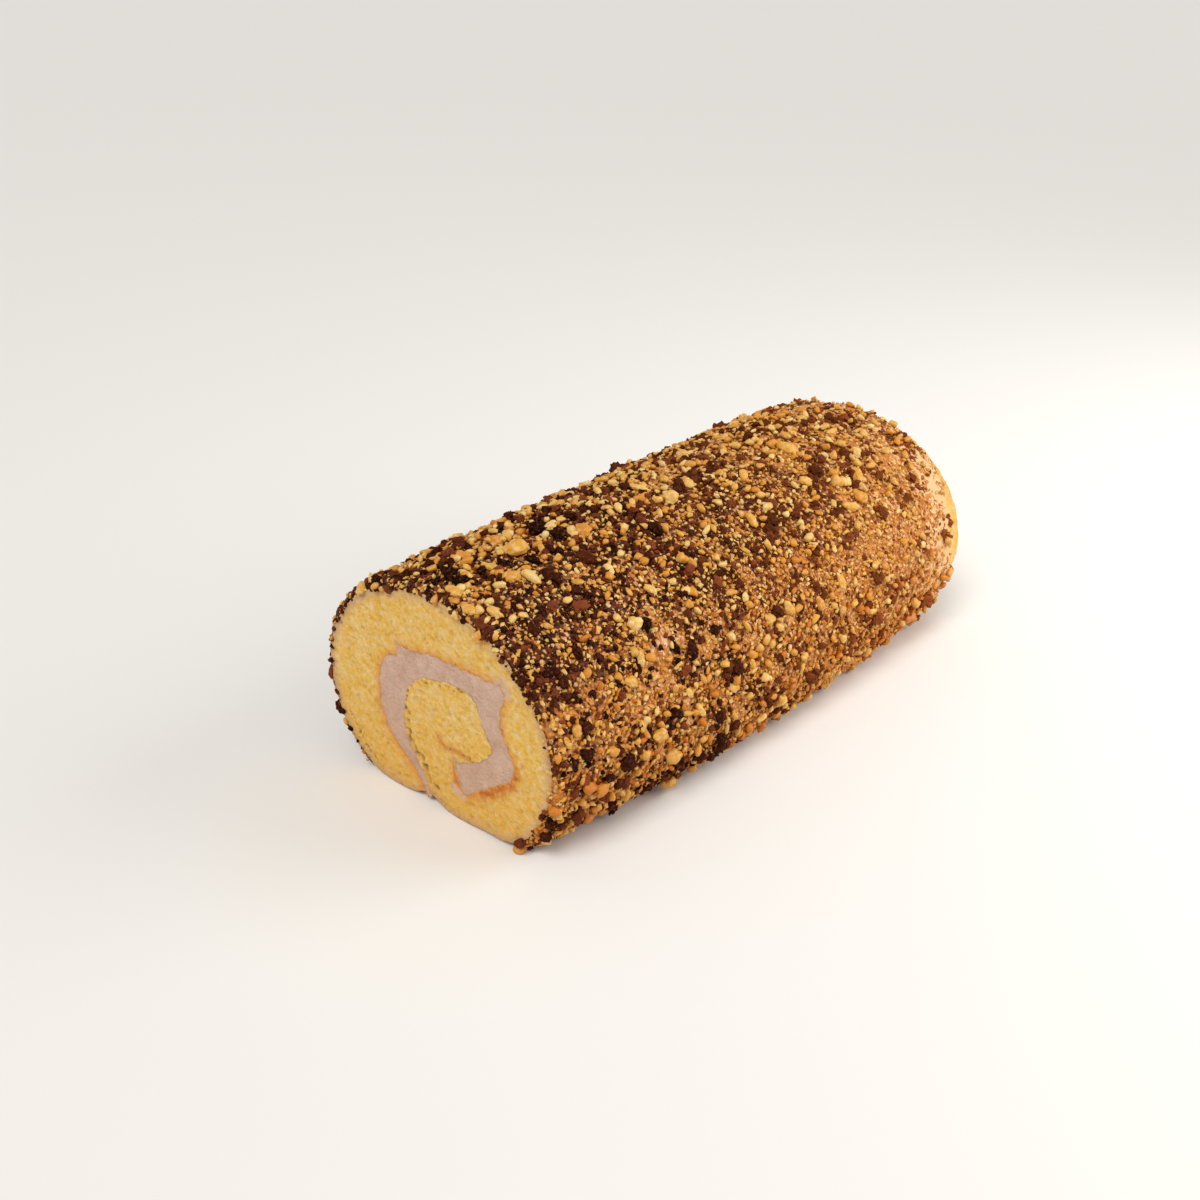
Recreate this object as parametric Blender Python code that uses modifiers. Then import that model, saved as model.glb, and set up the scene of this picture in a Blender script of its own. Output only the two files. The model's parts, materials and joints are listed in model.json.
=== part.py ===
# Yule log: a sponge cake rolled round a cream filling, with chopped nuts and
# chocolate biscuit crumbs stuck to a thin coat of cream on its top and sides.
# X runs along the roll, from the cut face to the far end. Z is up and the roll lies on Z = 0.

import math
import random

import bmesh
import bpy
import numpy as np
from mathutils import Vector

mm = 0.001

# The roll, in millimetres
roll_length = 218
half_width = 47.5
half_height = 39.5
centre_height = 31
belly_width = 0.038
belly_height = 0.052
rear_growth = 0.085
foot_spread = 6.5
floor_softness = 1.2
flat_within = 0.05
gap = 0.3

# The slit underneath, where the sheet's outer end meets the roll
seam_y = 3.5
seam_depth = 2.4
seam_width = 5

# The cream that is spread in the roll, as stations (y, z, outward, inward) along the
# middle of the layer, from the slit underneath, up over the roll and down into its core
cream_stations = (
    (3.7, 1.9, 1.1, 1.1),
    (8.3, 9.6, 1.5, 2.0),
    (14.2, 16.2, 2.4, 2.8),
    (18.2, 23.5, 4.4, 4.8),
    (18.8, 31.0, 5.2, 5.7),
    (16.3, 38.9, 6.2, 5.8),
    (11.6, 43.8, 4.2, 5.2),
    (8.8, 45.8, 6.0, 4.8),
    (5.0, 47.2, 3.6, 4.3),
    (-2.5, 48.5, 3.7, 4.0),
    (-10.5, 49.0, 3.0, 3.0),
    (-17.5, 48.2, 4.2, 3.6),
    (-20.4, 47.0, 6.2, 3.9),
    (-22.2, 45.4, 10.6, 4.4),
    (-23.5, 43.0, 5.2, 4.7),
    (-24.4, 40.6, 3.8, 4.4),
    (-25.4, 37.0, 3.2, 4.0),
    (-27.6, 31.5, 3.8, 3.8),
    (-27.6, 26.8, 6.0, 4.2),
    (-23.0, 22.8, 5.0, 3.4),
    (-17.0, 18.8, 4.6, 4.0),
    (-13.0, 16.0, 4.3, 4.2),
    (-10.9, 14.3, 4.0, 8.2),
    (-9.2, 12.6, 3.4, 3.2),
    (-8.2, 11.4, 2.6, 2.0),
)
steps_per_station = 2

# The coat of cream on the outside, and the nuts and crumbs that stand on it
coat_thickness = 2.3
coat_angles = (-45, 225)
coat_front = 0.7
coat_back = 4.0
front_raggedness = 0.3
back_raggedness = 1.6
grain_count = 230
grain_sizes = (7.2, 3.2)
grain_floor = 3.6
grain_spacing = 1.1
grain_tries = 400
seed = 24

# A grain's proportions, as shares of its size, and how far it stays off the sponge
grain_tall = 0.76
grain_long = (0.95, 1.15)
grain_wide = (0.7, 0.9)
grain_unevenness = (0.86, 1.12)
grain_clearance = 0.5

# Pieces that stand out, as (x, angle round the roll, size)
big_pieces = (
    (-77.0, 93.5, 7.6),
    (-53.5, 100.0, 6.2),
    (-60.0, 92.0, 8.4),
    (72.0, 58.0, 6.6),
    (-25.0, 219.0, 6.0),
    (-57.0, 217.0, 6.0),
    (86.0, 214.0, 6.0),
    (36.0, 120.0, 6.4),
    (78.0, 130.0, 7.0),
    (-96.0, 84.0, 8.2),
    (-99.0, 101.0, 6.4),
    (-84.0, 73.0, 7.0),
)

# How finely the shapes are cut up
length_steps = 8
coat_steps = 36
bottom_steps = 12


def settled(z):
    """A height, or nought where it is too small to matter, so that the underside is truly flat."""
    return z if z > flat_within else 0.0


def softened_floor(z):
    """The height of a point once the cake has sagged flat onto what it lies on."""
    return settled(floor_softness * math.log1p(math.exp(z / floor_softness)))


def rim_point(angle, along, offset=0.0):
    """A point (y, z) of the roll's outline. along is -1 at the cut face and 1 at the far end."""
    belly = 1 - along**2
    rear = rear_growth * ((1 + along) / 2) ** 2
    side, rise = math.cos(angle), math.sin(angle)
    y = (half_width + offset) * side * (1 + belly_width * belly + rear)
    y += 2 * foot_spread * belly * max(0.0, -rise) * side
    z = (half_height + offset) * rise * (1 + belly_height * belly + rear)
    return y, softened_floor(centre_height + z)


def seam_notch(y):
    return seam_depth * math.exp(-(((y - seam_y) / seam_width) ** 2))


def inner_point(y, z, along):
    """A point of the filling, moved out with the roll where its middle is fuller."""
    belly = 1 - along**2
    above = max(0.0, z - centre_height)
    return y * (1 + belly_width * belly), z + above * belly_height * belly


def spline(stations, steps):
    """Points of a smooth curve through the stations."""
    stations = [np.array(station, float) for station in stations]
    padded = [2 * stations[0] - stations[1], *stations, 2 * stations[-1] - stations[-2]]
    points = []
    for a, b, c, d in zip(padded, padded[1:], padded[2:], padded[3:]):
        for step in range(steps):
            t = step / steps
            bend = 2 * a - 5 * b + 4 * c - d
            twist = 3 * b - a - 3 * c + d
            points.append((2 * b + (c - a) * t + bend * t**2 + twist * t**3) / 2)
    points.append(padded[-2])
    return points


def cream_sides(clearance):
    """The two edges of the cream layer, each from the slit to the core, grown by a clearance."""
    points = spline(cream_stations, steps_per_station)
    outer, inner = [], []
    for index, (y, z, outward, inward) in enumerate(points):
        before, after = points[max(0, index - 1)], points[min(len(points) - 1, index + 1)]
        ahead = Vector((after[0] - before[0], after[1] - before[1])).normalized()
        sideways = Vector((ahead.y, -ahead.x))
        end = ahead * clearance if index == len(points) - 1 else Vector((0, 0))
        middle = Vector((y, z)) + end
        outer.append(middle + sideways * (outward + clearance))
        inner.append(middle - sideways * (inward + clearance))
    return outer, inner


def extruded_section(name, outline, place):
    """A solid from a flat outline drawn out along the roll, each point set by place(index, along)."""
    mesh = bpy.data.meshes.new(name)
    shape = bmesh.new()
    order = shape.verts.layers.int.new("order")
    corners = [shape.verts.new((-1, y, z)) for y, z in outline]
    for index, corner in enumerate(corners):
        corner[order] = index
    slices = [shape.faces.new(corners)]
    for step in range(length_steps):
        made = bmesh.ops.extrude_face_region(shape, geom=slices[-1:])["geom"]
        slices.append(next(item for item in made if isinstance(item, bmesh.types.BMFace)))
        for corner in slices[-1].verts:
            corner.co.x = -1 + 2 * (step + 1) / length_steps
    bmesh.ops.delete(shape, geom=slices[1:-1], context="FACES_ONLY")
    for corner in shape.verts:
        along = corner.co.x
        y, z = place(corner[order], along)
        corner.co = Vector((along * roll_length / 2, y, z)) * mm
    bmesh.ops.recalc_face_normals(shape, faces=shape.faces)
    shape.to_mesh(mesh)
    shape.free()
    return bpy.data.objects.new(name, mesh)


def rim_angles():
    """Angles round the sponge, from the right of the slit over the top to the left of it."""
    first, last = (math.radians(angle) for angle in coat_angles)
    over = [first + (last - first) * step / coat_steps for step in range(coat_steps + 1)]
    right = math.atan2(-half_height, seam_y + cream_stations[0][2] + gap)
    left = math.atan2(-half_height, seam_y - cream_stations[0][3] - gap) + 2 * math.pi
    half = bottom_steps // 2
    start = [right + (first - right) * step / half for step in range(1, half)]
    finish = [last + (left - last) * step / half for step in range(1, half)]
    return start + over + finish


def make_sponge():
    angles = rim_angles()
    outer, inner = cream_sides(gap)
    slot = inner + outer[::-1]
    places = [("rim", angle) for angle in angles] + [("slot", point) for point in slot]

    def place(index, along):
        kind, value = places[index]
        if kind == "slot":
            return inner_point(value.x, value.y, along)
        y, z = rim_point(value, along)
        if z < centre_height:
            z = settled(z + seam_notch(y))
        return y, z

    outline = [place(index, -1) for index in range(len(places))]
    return extruded_section("sponge", outline, place)


def make_filling():
    outer, inner = cream_sides(0)
    edge = inner[::-1] + outer

    def place(index, along):
        return inner_point(edge[index].x, edge[index].y, along)

    outline = [place(index, -1) for index in range(len(edge))]
    return extruded_section("cream_filling", outline, place)


def coat_ends(angle):
    """Where the coat starts and stops along the roll, in millimetres: its far edge is ragged."""
    front = -roll_length / 2 + coat_front + front_raggedness * math.sin(9 * angle)
    ragged = math.sin(3 * angle + 0.6) + 0.6 * math.sin(8 * angle + 1.0)
    return front, roll_length / 2 - coat_back + back_raggedness * ragged


def coat_point(x, angle, offset):
    y, z = rim_point(angle, 2 * x / roll_length, offset)
    return Vector((x, y, z))


def make_bare_coat():
    """The coat of cream without its toppings: an open sheet over the roll, thickened outwards."""
    first, last = (math.radians(angle) for angle in coat_angles)
    shape = bmesh.new()
    rows = []
    for step in range(length_steps + 1):
        row = []
        for turn in range(coat_steps + 1):
            angle = first + (last - first) * turn / coat_steps
            front, back = coat_ends(angle)
            x = front + (back - front) * step / length_steps
            row.append(shape.verts.new(coat_point(x, angle, gap) * mm))
        rows.append(row)
    for row, following in zip(rows, rows[1:]):
        for near in range(coat_steps):
            shape.faces.new((row[near], following[near], following[near + 1], row[near + 1]))
    mesh = bpy.data.meshes.new("crumb_coat")
    bmesh.ops.recalc_face_normals(shape, faces=shape.faces)
    top = max(shape.faces, key=lambda face: face.calc_center_median().z)
    if top.normal.z < 0:
        bmesh.ops.reverse_faces(shape, faces=shape.faces)
    shape.to_mesh(mesh)
    shape.free()
    coat = bpy.data.objects.new("crumb_coat", mesh)
    wall = coat.modifiers.new("thickness", "SOLIDIFY")
    wall.thickness = coat_thickness * mm
    wall.offset = 1
    wall.use_even_offset = True
    return coat


def chosen_grains(draw):
    """Where the pieces of nut and crumb sit, as (x, angle, size): the largest first, none touching."""
    chosen = []

    def fits(x, angle, size):
        front, back = coat_ends(angle)
        reach = grain_long[1] * size / 2
        if not front + reach < x < back - reach:
            return False
        here = coat_point(x, angle, coat_thickness)
        if here.z < grain_floor:
            return False
        for other_x, other_angle, other_size in chosen:
            there = coat_point(other_x, other_angle, coat_thickness)
            if (here - there).length < grain_spacing * (size + other_size) / 2:
                return False
        return True

    for x, degrees, size in big_pieces:
        angle = math.radians(degrees)
        if fits(x, angle, size):
            chosen.append((x, angle, size))
    first, last = coat_angles
    large, small = grain_sizes
    while len(chosen) < grain_count:
        size = large + (small - large) * math.sqrt(len(chosen) / grain_count)
        for _ in range(grain_tries):
            x = draw.uniform(-0.5, 0.5) * roll_length
            angle = math.radians(draw.uniform(first, last))
            if fits(x, angle, size):
                chosen.append((x, angle, size))
                break
        else:
            break
    return chosen


def make_grain(x, angle, size, draw, collection):
    """One lump of nut or biscuit, longer than wide, half sunk in the cream."""
    here = coat_point(x, angle, gap)
    round_it = (coat_point(x, angle + 0.01, gap) - here).normalized()
    along_it = Vector((1, 0, 0))
    out = round_it.cross(along_it)
    turn = draw.uniform(0, math.pi)
    long_way = along_it * math.cos(turn) + round_it * math.sin(turn)
    short_way = out.cross(long_way)
    half_tall = grain_tall * size / 2
    half_long = draw.uniform(*grain_long) * size / 2
    half_wide = draw.uniform(*grain_wide) * size / 2
    middle = here + out * max(grain_clearance + half_tall, coat_thickness)
    shape = bmesh.new()
    bmesh.ops.create_icosphere(shape, subdivisions=1, radius=1)
    for corner in shape.verts:
        a, b, c = (value * draw.uniform(*grain_unevenness) for value in corner.co)
        spot = middle + long_way * a * half_long + short_way * b * half_wide
        corner.co = (spot + out * max(c, -1.0) * half_tall) * mm
    bmesh.ops.recalc_face_normals(shape, faces=shape.faces)
    mesh = bpy.data.meshes.new("grain")
    shape.to_mesh(mesh)
    shape.free()
    collection.objects.link(bpy.data.objects.new("grain", mesh))


def make_crumb_coat(parts):
    """The coat with its toppings joined to it."""
    draw = random.Random(seed)
    coat = make_bare_coat()
    parts.objects.link(coat)
    toppings = bpy.data.collections.new("toppings")
    bpy.context.scene.collection.children.link(toppings)
    for x, angle, size in chosen_grains(draw):
        make_grain(x, angle, size, draw, toppings)
    join = coat.modifiers.new("toppings", "BOOLEAN")
    join.operation = "UNION"
    join.operand_type = "COLLECTION"
    join.collection = toppings
    join.solver = "EXACT"
    bpy.context.view_layer.update()
    graph = bpy.context.evaluated_depsgraph_get()
    joined = bpy.data.meshes.new_from_object(coat.evaluated_get(graph))
    coat.modifiers.clear()
    coat.data = joined
    for grain in list(toppings.objects):
        bpy.data.objects.remove(grain)
    bpy.data.collections.remove(toppings)
    return coat


def paint(piece, name, colour, roughness):
    """Gives a piece its own material."""
    material = bpy.data.materials.new(name)
    material.use_nodes = True
    shader = material.node_tree.nodes["Principled BSDF"]
    shader.inputs["Base Color"].default_value = (*colour, 1)
    shader.inputs["Roughness"].default_value = roughness
    shader.inputs["Metallic"].default_value = 0
    piece.data.materials.clear()
    piece.data.materials.append(material)


def main():
    for old in list(bpy.data.objects):
        bpy.data.objects.remove(old)
    parts = bpy.data.collections.new("yule_log")
    bpy.context.scene.collection.children.link(parts)
    sponge = make_sponge()
    filling = make_filling()
    for piece in (sponge, filling):
        parts.objects.link(piece)
    coat = make_crumb_coat(parts)
    paint(sponge, "yellow_sponge", (0.83, 0.60, 0.20), 0.9)
    paint(filling, "mocha_cream", (0.60, 0.45, 0.38), 0.6)
    paint(coat, "nut_and_biscuit_crumbs", (0.40, 0.22, 0.10), 0.85)


main()
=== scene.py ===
# Yule log: a sponge rolled round mocha cream, coated with chopped nuts and chocolate biscuit crumbs.
# Sizes are in millimetres until a mesh is made. X runs along the roll, and angles go round it
# from its far side (0) over the top (90) to the long side that the camera sees (180).
import json
import math
import random

import bmesh
import bpy
import numpy as np
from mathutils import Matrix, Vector, kdtree, noise
from mathutils.geometry import delaunay_2d_cdt

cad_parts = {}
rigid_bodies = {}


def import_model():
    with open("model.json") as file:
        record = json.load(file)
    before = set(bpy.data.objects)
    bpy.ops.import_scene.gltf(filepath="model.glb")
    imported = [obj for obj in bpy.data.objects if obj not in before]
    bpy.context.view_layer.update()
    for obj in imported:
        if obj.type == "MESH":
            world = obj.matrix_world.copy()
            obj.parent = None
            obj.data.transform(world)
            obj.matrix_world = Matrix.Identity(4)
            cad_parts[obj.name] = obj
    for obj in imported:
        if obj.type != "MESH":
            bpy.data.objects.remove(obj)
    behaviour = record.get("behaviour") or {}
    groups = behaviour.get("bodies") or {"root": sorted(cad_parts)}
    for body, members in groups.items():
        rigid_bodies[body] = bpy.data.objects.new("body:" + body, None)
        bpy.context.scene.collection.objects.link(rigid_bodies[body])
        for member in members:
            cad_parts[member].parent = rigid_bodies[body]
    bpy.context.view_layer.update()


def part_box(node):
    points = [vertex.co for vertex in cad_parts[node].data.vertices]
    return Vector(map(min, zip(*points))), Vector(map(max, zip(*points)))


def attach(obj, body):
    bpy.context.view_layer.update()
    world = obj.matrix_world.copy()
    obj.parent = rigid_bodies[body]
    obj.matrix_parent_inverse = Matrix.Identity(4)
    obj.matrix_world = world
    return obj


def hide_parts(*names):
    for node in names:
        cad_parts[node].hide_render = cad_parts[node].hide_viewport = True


mm = 0.001
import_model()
spongeLow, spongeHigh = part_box("sponge")

roll = {
    "length": (spongeHigh.x - spongeLow.x) / mm,
    "halfWidth": 47.5,
    "halfHeight": 39.5,
    "centreHeight": 31,
    "bellyWidth": 0.038,
    "bellyHeight": 0.052,
    "rearGrowth": 0.085,
    "footSpread": 6.5,
    "floorSoftness": 1.2,
    "seamY": 3.5,
    "seamDepth": 2.4,
    "seamWidth": 5,
}


# The roll's form

def rimPoints(angle, along, offset=0.0):  # the outline; along is -1 at the cut face, 1 at the far end
    belly = 1 - along ** 2
    rear = roll["rearGrowth"] * ((1 + along) / 2) ** 2
    side = np.cos(angle)
    rise = np.sin(angle)
    y = (roll["halfWidth"] + offset) * side * (1 + roll["bellyWidth"] * belly + rear)
    y = y + 2 * roll["footSpread"] * belly * np.maximum(0, -rise) * side
    z = (roll["halfHeight"] + offset) * rise * (1 + roll["bellyHeight"] * belly + rear)
    soft = roll["floorSoftness"]
    return y, soft * np.logaddexp(0, (roll["centreHeight"] + z) / soft)


def innerPoints(y, z, along):  # a point of the filling, moved out where the roll is fuller
    belly = 1 - along ** 2
    above = np.maximum(0, z - roll["centreHeight"])
    return y * (1 + roll["bellyWidth"] * belly), z + above * roll["bellyHeight"] * belly


def seamNotch(y):
    return roll["seamDepth"] * np.exp(-(((y - roll["seamY"]) / roll["seamWidth"]) ** 2))


def smoothStep(low, high, value):
    t = np.clip((value - low) / (high - low), 0, 1)
    return t * t * (3 - 2 * t)


def noiseAt(points, size, seed=0.0, octaves=2):  # soft noise in -1..1, with features of a size
    shift = Vector((seed * 7.31, seed * 3.17, seed * 5.71))
    return np.array([noise.fractal(Vector(p) / size + shift, 0.7, 2.0, octaves) for p in points])


# Meshes

def makePiece(name, points, faces, material, marks):  # points in millimetres
    mesh = bpy.data.meshes.new(name)
    mesh.from_pydata((np.asarray(points) * mm).tolist(), [], faces)
    for markName, values in marks.items():
        layer = mesh.attributes.new(markName, "FLOAT", "POINT")
        layer.data.foreach_set("value", np.asarray(values, dtype=np.float32))
    mesh.polygons.foreach_set("use_smooth", [True] * len(mesh.polygons))
    mesh.materials.append(material)
    mesh.update()
    piece = bpy.data.objects.new(name, mesh)
    bpy.context.scene.collection.objects.link(piece)
    return piece


def insideOutline(points, outline):
    inside = np.zeros(len(points), bool)
    px, py = points[:, 0], points[:, 1]
    for (ax, ay), (bx, by) in zip(outline, np.roll(outline, -1, axis=0)):
        crosses = (ay > py) != (by > py)
        if crosses.any() and ay != by:
            inside ^= crosses & (px < ax + (py - ay) * (bx - ax) / (by - ay))
    return inside


def nearness(points, targets):  # distance from each 2D point to the nearest target
    tree = kdtree.KDTree(len(targets))
    for index, (y, z) in enumerate(targets):
        tree.insert((0, y, z), index)
    tree.balance()
    return np.array([tree.find((0, y, z))[2] for y, z in points])


def fillFace(outline, step, draw):  # inner points and triangles of a flat outline
    low, high = outline.min(axis=0), outline.max(axis=0)
    rowStep = step * math.sqrt(3) / 2
    stray = 0.25
    spots = []
    for row, z in enumerate(np.arange(low[1], high[1], rowStep)):
        for y in np.arange(low[0] + (row % 2) * step / 2, high[0], step):
            spots.append((y + draw.uniform(-stray, stray) * step, z + draw.uniform(-stray, stray) * step))
    spots = np.array(spots)
    spots = spots[insideOutline(spots, outline)]
    spots = spots[nearness(spots, outline) > 0.55 * step]
    everything = np.vstack([outline, spots])
    count = len(outline)
    edges = [(i, (i + 1) % count) for i in range(count)]
    coords = [Vector(p) for p in everything]
    _, _, madeFaces, origins, _, _ = delaunay_2d_cdt(coords, edges, [], 1, 1e-6, True)
    back = [origin[0] for origin in origins]
    triangles = np.array([[back[i] for i in face] for face in madeFaces])
    centres = everything[triangles].mean(axis=1)
    return spots, triangles[insideOutline(centres, outline)].tolist()


def rolledSolid(outline, placeRow, step, rows, relief, draw):
    # A solid whose outline runs through the roll, with finely cut end faces. relief gives how far
    # a point of an end face stands out. Returns the points, the faces and one end's inner spots.
    spots, triangles = fillFace(outline, step, draw)
    half = roll["length"] / 2
    count = len(outline)
    points = []
    for row in range(rows + 1):
        along = -1 + 2 * row / rows
        y, z = placeRow(along)
        points.append(np.column_stack([np.full(count, along * half), y, z]))
    faces = []
    for row in range(rows):
        start = row * count
        for i in range(count):
            j = (i + 1) % count
            faces.append((start + i, start + j, start + count + j, start + count + i))
    total = (rows + 1) * count
    for end, sign in ((0, -1), (1, 1)):
        face = np.vstack([outline, spots])
        stand = relief(face, end)
        stand[:count] *= 0.3  # less relief at the very edge
        firstRow = end * rows * count
        points[end * rows][:, 0] += sign * stand[:count]
        points.append(np.column_stack([sign * (half + stand[count:]), spots]))
        for triangle in triangles:
            corners = [firstRow + i if i < count else total + i - count for i in triangle]
            (ay, az), (by, bz), (cy, cz) = (face[i] for i in triangle)
            turn = (by - ay) * (cz - az) - (bz - az) * (cy - ay)
            if (turn > 0) != (sign > 0):
                corners.reverse()
            faces.append(tuple(corners))
        total += len(spots)
    return np.vstack(points), faces, spots


# Material helpers

class Wires:  # short ways to add and join the nodes of one tree
    def __init__(self, tree):
        self.tree = tree

    def node(self, kind, inputs=None, **settings):  # inputs holds values and outputs, by name or number
        made = self.tree.nodes.new(kind)
        for key, value in settings.items():
            setattr(made, key, value)
        for key, item in (inputs or {}).items():
            self.join(item, made.inputs[key])
        return made

    def join(self, item, socket):
        if isinstance(item, bpy.types.NodeSocket):
            self.tree.links.new(item, socket)
        elif isinstance(item, tuple) and socket.type == "RGBA":
            socket.default_value = (*item, 1)
        elif item is not None:
            socket.default_value = item

    def place(self):
        return self.node("ShaderNodeTexCoord").outputs["Object"]

    def mark(self, name):
        return self.node("ShaderNodeAttribute", attribute_name=name).outputs["Fac"]

    def value(self, operation, first, second=None, clamp=False):
        made = self.node("ShaderNodeMath", {0: first, 1: second}, operation=operation, use_clamp=clamp)
        return made.outputs[0]

    def scaled(self, vector, factor):
        made = self.node("ShaderNodeVectorMath", {0: vector, "Scale": factor}, operation="SCALE")
        return made.outputs[0]

    def vector(self, *parts):
        return self.node("ShaderNodeCombineXYZ", dict(enumerate(parts))).outputs[0]

    def fade(self, axis, start, end, most=1.0):  # rises from 0 to most along an axis, in millimetres
        split = self.node("ShaderNodeSeparateXYZ", {0: self.place()})
        made = self.node("ShaderNodeMapRange", {
            "Value": split.outputs[axis], "From Min": start * mm, "From Max": end * mm, "To Max": most})
        return made.outputs["Result"]

    def noise(self, size, detail=3.0, roughness=0.6):
        made = self.node("ShaderNodeTexNoise", {
            "Vector": self.place(), "Scale": 1 / (size * mm), "Detail": detail, "Roughness": roughness})
        return made.outputs["Fac"]

    def cells(self, size):
        return self.node("ShaderNodeTexVoronoi", {"Vector": self.place(), "Scale": 1 / (size * mm)})

    def ramp(self, value, *stops):  # each stop is a position with a colour, or with a number for a grey
        made = self.node("ShaderNodeValToRGB", {"Fac": value})
        elements = made.color_ramp.elements
        while len(elements) > 1:
            elements.remove(elements[-1])
        for index, (position, colour) in enumerate(stops):
            element = elements.new(position) if index else elements[0]
            element.position = position
            element.color = (*colour, 1) if isinstance(colour, tuple) else (colour, colour, colour, 1)
        return made.outputs["Color"]

    def blend(self, share, first, second, mode="MIX"):
        inputs = {0: share, 6: first, 7: second}
        return self.node("ShaderNodeMix", inputs, data_type="RGBA", blend_type=mode).outputs[2]

    def bump(self, height, depth, after=None):
        made = self.node("ShaderNodeBump", {
            "Height": height, "Distance": depth * mm, "Strength": 1.0, "Normal": after})
        return made.outputs["Normal"]


def newMaterial(name, roughness, specular=0.3, subsurface=0.0, radius=(1.0, 0.5, 0.25)):
    material = bpy.data.materials.new(name)
    material.use_nodes = True
    material.node_tree.nodes.clear()
    wires = Wires(material.node_tree)
    shader = wires.node("ShaderNodeBsdfPrincipled", {
        "Roughness": roughness, "Specular IOR Level": specular, "Subsurface Weight": subsurface,
        "Subsurface Radius": radius, "Subsurface Scale": 1.5 * mm})
    wires.node("ShaderNodeOutputMaterial", {"Surface": shader.outputs["BSDF"]})
    return material, shader, wires


def srgb(red, green, blue):  # a colour as read off a screen, made linear
    def linear(c):
        c = c / 255
        return c / 12.92 if c <= 0.04045 else ((c + 0.055) / 1.055) ** 2.4
    return linear(red), linear(green), linear(blue)


# Crumb group: fine grit and pores that more than one finish uses

def makeGritGroup():
    group = bpy.data.node_groups.new("grit", "ShaderNodeTree")
    for name, way, start in (("Size", "INPUT", 1.0), ("Softness", "INPUT", 0.5), ("Height", "OUTPUT", 0.0)):
        socket = group.interface.new_socket(name, in_out=way, socket_type="NodeSocketFloat")
        socket.default_value = start
    wires = Wires(group)
    given = wires.node("NodeGroupInput").outputs
    there = {"Scale": wires.value("DIVIDE", 1 / mm, given["Size"]), "Vector": wires.place()}
    warp = wires.node("ShaderNodeTexNoise", {**there, "Detail": 4.0})
    cell = wires.node("ShaderNodeTexVoronoi", {**there, "Smoothness": given["Softness"]},
                      feature="SMOOTH_F1")
    dome = wires.value("MULTIPLY", cell.outputs["Distance"], 0.9)
    wires.node("NodeGroupOutput", {"Height": wires.value("ADD", dome, warp.outputs["Fac"])})
    return group


gritGroup = makeGritGroup()


def addGrit(wires, size, softness):
    made = wires.node("ShaderNodeGroup", node_tree=gritGroup)
    made.inputs["Size"].default_value = size
    made.inputs["Softness"].default_value = softness
    return made.outputs["Height"]


# Cream filling

creamBand = {
    "stations": (  # y, z, outward, inward: from the slit underneath, over the top, down into the core
        (3.7, 1.9, 1.1, 1.1), (8.3, 9.6, 1.5, 2.0), (14.2, 16.2, 2.4, 2.8), (18.2, 23.5, 4.4, 4.8),
        (18.8, 31.0, 5.2, 5.7), (16.3, 38.9, 6.2, 5.8), (11.6, 43.8, 4.4, 5.2), (10.3, 44.9, 6.6, 5.0),
        (8.8, 45.8, 4.7, 4.8),
        (5.0, 47.2, 3.6, 4.3), (-2.5, 48.5, 3.7, 4.0), (-10.5, 49.0, 3.0, 3.0), (-17.5, 48.2, 4.2, 3.6),
        (-20.4, 47.0, 6.2, 3.9), (-22.2, 45.4, 9.4, 4.4), (-23.5, 43.0, 5.2, 4.7), (-24.4, 40.6, 3.8, 4.4),
        (-25.4, 37.0, 3.2, 4.0), (-27.6, 31.5, 3.8, 3.8), (-27.6, 26.8, 5.3, 4.2), (-23.0, 22.8, 4.4, 3.4),
        (-17.0, 18.8, 4.6, 4.0), (-13.0, 16.0, 4.9, 5.0), (-11.4, 15.2, 5.1, 5.4), (-10.2, 14.9, 5.0, 5.5),
        (-9.6, 14.75, 3.6, 4.4), (-9.4, 14.7, 1.4, 1.8),
    ),
    "steps": 9,
    "faceStep": 0.55,
    "rows": 20,
    "overlap": 0.16,
    "waviness": 0.55,
    "waveSize": 2.2,
    "seed": 5,
}


def crosses(a, b, c, d):  # whether two flat segments cross
    def turn(p, q, r):
        return (q[0] - p[0]) * (r[1] - p[1]) - (q[1] - p[1]) * (r[0] - p[0])
    return turn(a, b, c) * turn(a, b, d) < 0 and turn(c, d, a) * turn(c, d, b) < 0


def withoutLoops(edge, reach=14):  # a line without the small loops of a tight bend
    kept = list(edge)
    start = 0
    while start < len(kept) - 2:
        for end in range(min(start + reach, len(kept) - 2), start + 1, -1):
            if crosses(kept[start], kept[start + 1], kept[end], kept[end + 1]):
                del kept[start + 1:end + 1]
                break
        start += 1
    return np.array(kept)


def bandSides(grown):  # the two edges of the cream layer, grown by a margin
    stations = [np.array(station) for station in creamBand["stations"]]
    padded = [2 * stations[0] - stations[1], *stations, 2 * stations[-1] - stations[-2]]
    steps = creamBand["steps"]
    points = []
    for a, b, c, d in zip(padded, padded[1:], padded[2:], padded[3:]):
        for step in range(steps):
            t = step / steps
            bend = 2 * a - 5 * b + 4 * c - d
            twist = 3 * b - a - 3 * c + d
            points.append((2 * b + (c - a) * t + bend * t ** 2 + twist * t ** 3) / 2)
    points.append(padded[-2])
    points = np.array(points)
    ahead = np.gradient(points[:, :2], axis=0)
    ahead /= np.linalg.norm(ahead, axis=1)[:, None]
    sideways = np.column_stack([ahead[:, 1], -ahead[:, 0]])
    middle = points[:, :2]
    middle[-1] += ahead[-1] * grown
    outer = middle + sideways * (points[:, 2:3] + grown)
    inner = middle - sideways * (points[:, 3:4] + grown)
    for edge, seed in ((outer, 1), (inner, 2)):
        spots = np.column_stack([np.zeros(len(edge)), edge])
        fade = smoothStep(0, 12, edge[:, 1])[:, None]
        wave = noiseAt(spots, creamBand["waveSize"], seed) * creamBand["waviness"]
        edge += sideways * wave[:, None] * fade
    return withoutLoops(outer), withoutLoops(inner)


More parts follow.
